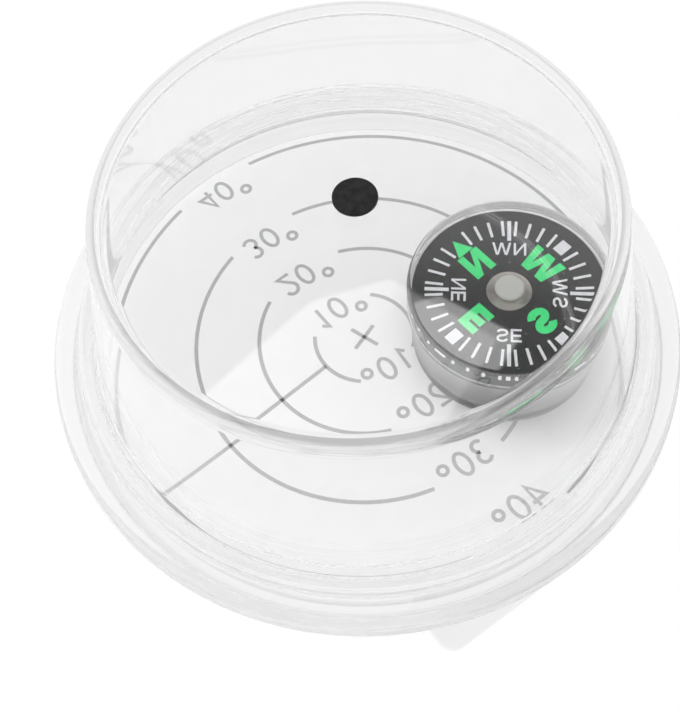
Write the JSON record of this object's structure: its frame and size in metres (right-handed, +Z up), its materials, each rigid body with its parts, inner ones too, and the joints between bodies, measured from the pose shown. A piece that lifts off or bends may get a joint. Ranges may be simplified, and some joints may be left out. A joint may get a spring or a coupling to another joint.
{
  "type": "inclinometer",
  "caption": "Clip-on sun-angle inclinometer: a dot on a clear cup casts its shadow on a ring target, with a small compass inside to set the heading.",
  "frame": {"origin": "on the cup's axis, in the plane of the clip's underside, which is the bottom centre of the whole part", "axes": "+Z up through the shadow dot; -Y out of the clip's mouth; +X across the clip"},
  "size_m": [0.067, 0.067, 0.0358],
  "materials": {
    "clear_plastic": "polished clear moulding",
    "target_white": "satin white sheet with grey print",
    "dot_black": "satin black",
    "clip_plastic": "lightly frosted clear moulding",
    "tape_foam": "grey adhesive foam",
    "bowl_plastic": "translucent grey moulding",
    "lens_plastic": "polished clear cap",
    "card_black": "satin black with white and green print",
    "magnet_steel": "ground magnet steel",
    "cap_nickel": "nickel-plated turned brass",
    "jewel_glass": "polished glass jewel",
    "pin_steel": "hardened needle"
  },
  "bodies": {
    "housing": {"clear_cover": "clear_plastic", "base_tray": "clear_plastic", "target_disc": "target_white", "shadow_dot": "dot_black", "panel_clip": "clip_plastic", "compass_tape": "tape_foam", "compass_bowl": "bowl_plastic", "compass_lens": "lens_plastic", "pivot_pin": "pin_steel"},
    "card": {"compass_card": "card_black", "compass_magnet": "magnet_steel", "card_cap": "cap_nickel", "cap_jewel": "jewel_glass"}
  },
  "joints": [
    {"name": "card_turn", "type": "hinge", "parent": "housing", "child": "card", "pos_m": [0.01196, -0.00907, 0.018], "axis": [0, 0, 1], "continuous": true}
  ]
}
